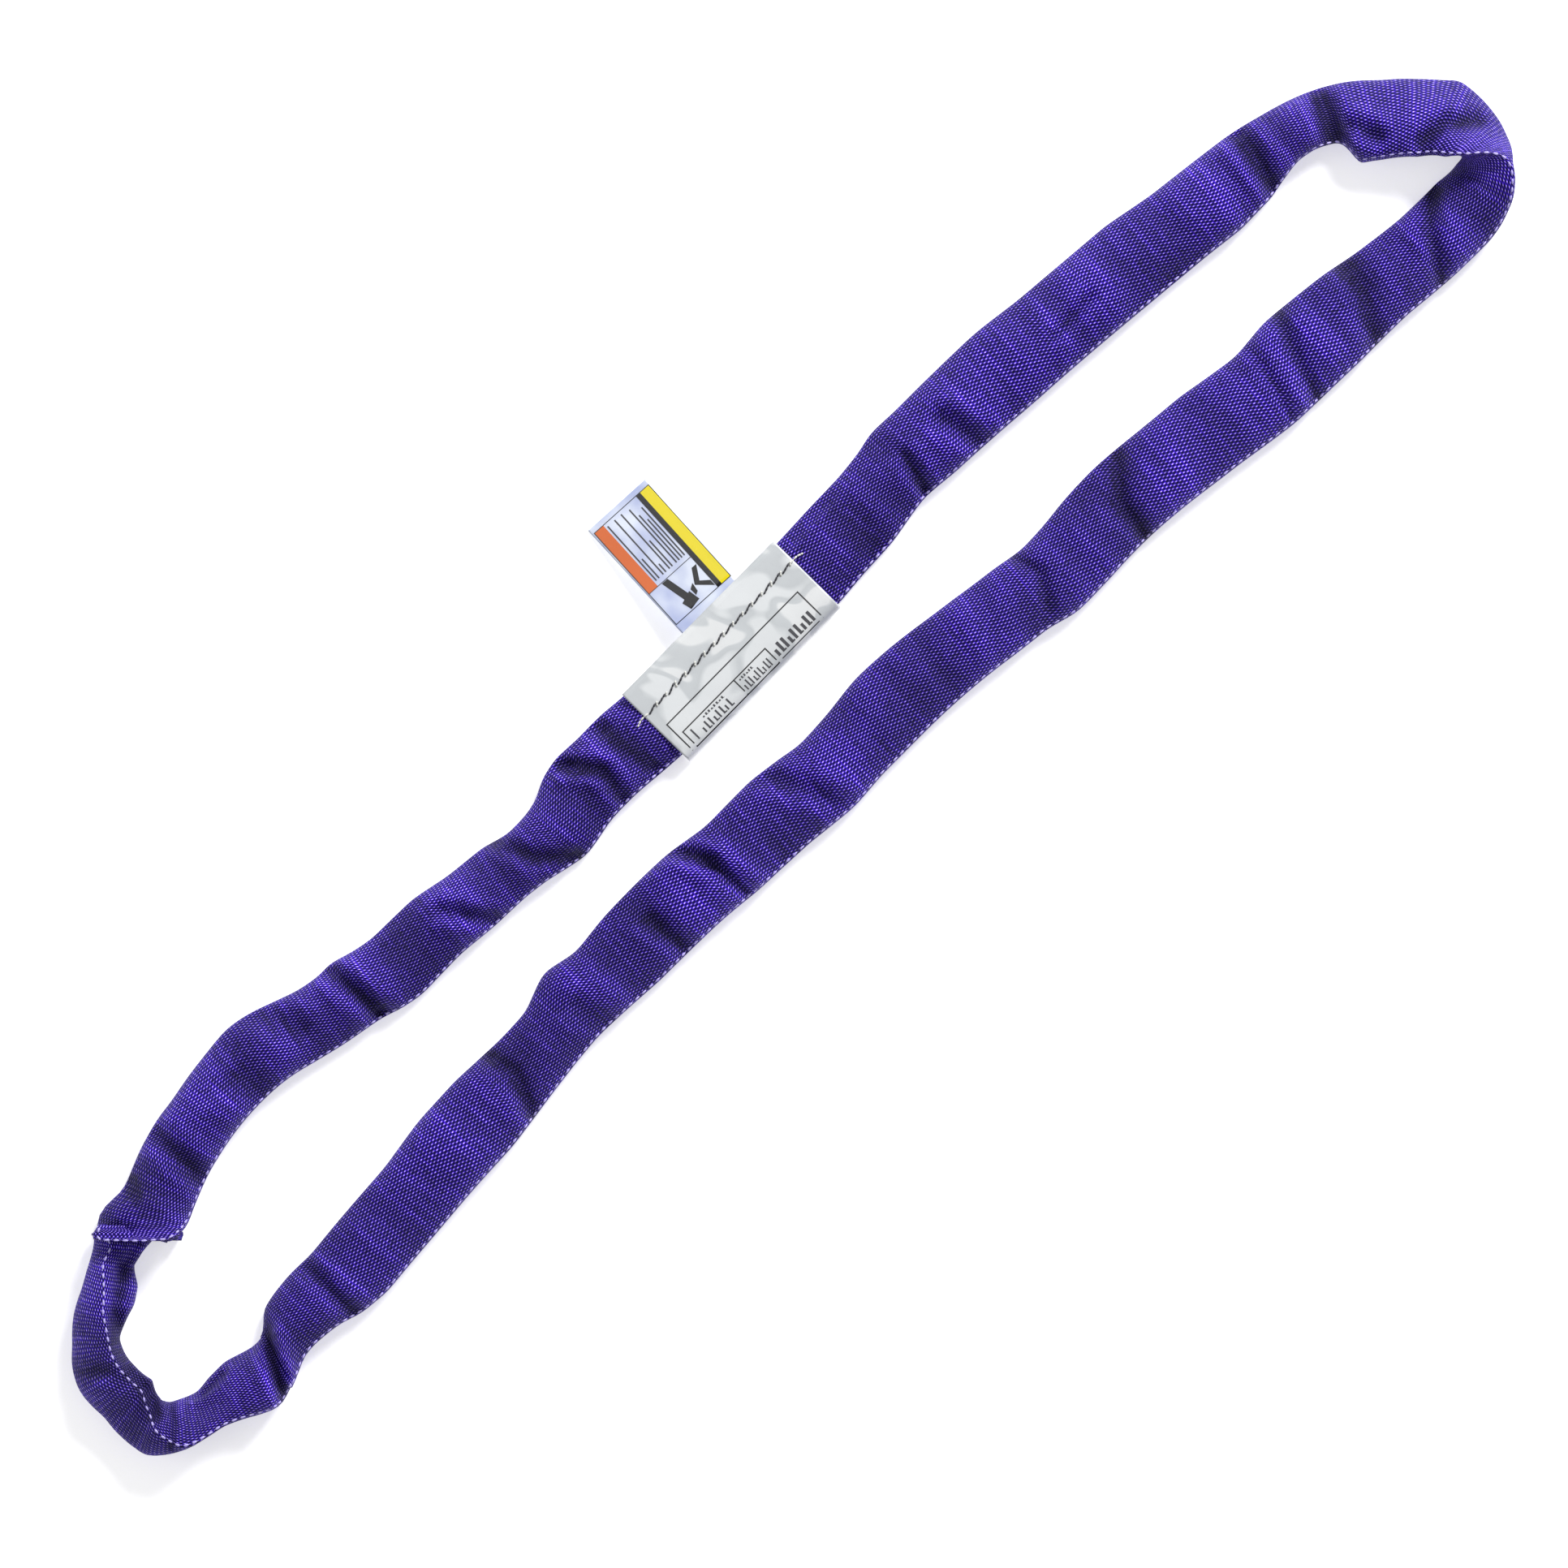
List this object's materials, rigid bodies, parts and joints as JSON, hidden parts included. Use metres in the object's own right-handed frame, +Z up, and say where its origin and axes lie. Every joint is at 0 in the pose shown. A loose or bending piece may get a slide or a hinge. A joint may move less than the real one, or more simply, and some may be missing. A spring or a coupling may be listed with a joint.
{
  "type": "round sling",
  "caption": "Endless round lifting sling: a woven sleeve round a bundle of endless yarn turns, with a sewn label and a flap tag, laid out as a long narrow loop.",
  "frame": {"origin": "centre of the sling's bounding box, on the surface that it lies on", "axes": "+X along the long narrow loop towards the bight nearer the label, +Y across the legs towards the labelled leg, +Z up from the surface"},
  "size_m": [0.884, 0.2057, 0.032],
  "materials": {
    "sleeve_cloth": "plain woven polyester, violet, slight sheen",
    "core_yarn": "raw white continuous-filament polyester yarn",
    "core_tape": "cloth-backed binding tape",
    "seam_thread": "violet polyester sewing thread",
    "label_vinyl": "white printed vinyl",
    "clear_film": "clear laminating film",
    "label_thread": "black and white lockstitch thread",
    "tag_vinyl": "laminated white vinyl with coloured bands"
  },
  "bodies": {
    "label_side": {"sleeve_label_side": "sleeve_cloth", "core_turn_01_label_side": "core_yarn", "core_turn_02_label_side": "core_yarn", "core_turn_03_label_side": "core_yarn", "core_turn_04_label_side": "core_yarn", "core_turn_05_label_side": "core_yarn", "core_turn_06_label_side": "core_yarn", "core_turn_07_label_side": "core_yarn", "core_turn_08_label_side": "core_yarn", "core_turn_09_label_side": "core_yarn", "core_turn_10_label_side": "core_yarn", "core_turn_11_label_side": "core_yarn", "core_turn_12_label_side": "core_yarn", "core_tape": "core_tape", "sleeve_seam_thread": "seam_thread", "label": "label_vinyl", "label_film": "clear_film", "label_stitches": "label_thread", "label_thread_tails": "label_thread"},
    "far_side": {"sleeve_far_side": "sleeve_cloth", "core_turn_01_far_side": "core_yarn", "core_turn_02_far_side": "core_yarn", "core_turn_03_far_side": "core_yarn", "core_turn_04_far_side": "core_yarn", "core_turn_05_far_side": "core_yarn", "core_turn_06_far_side": "core_yarn", "core_turn_07_far_side": "core_yarn", "core_turn_08_far_side": "core_yarn", "core_turn_09_far_side": "core_yarn", "core_turn_10_far_side": "core_yarn", "core_turn_11_far_side": "core_yarn", "core_turn_12_far_side": "core_yarn"},
    "info_tag": {"info_tag": "tag_vinyl", "info_tag_film": "clear_film"}
  },
  "joints": [
    {"name": "far_end_fold", "type": "hinge", "parent": "label_side", "child": "far_side", "pos_m": [-0.234, 0, 0.0136], "axis": [0, 1, 0], "range_deg": [0, 170]},
    {"name": "info_tag_flip", "type": "hinge", "parent": "label_side", "child": "info_tag", "pos_m": [0.0165, 0.0402, 0.011], "axis": [1, 0, 0], "range_deg": [0, 155]}
  ]
}
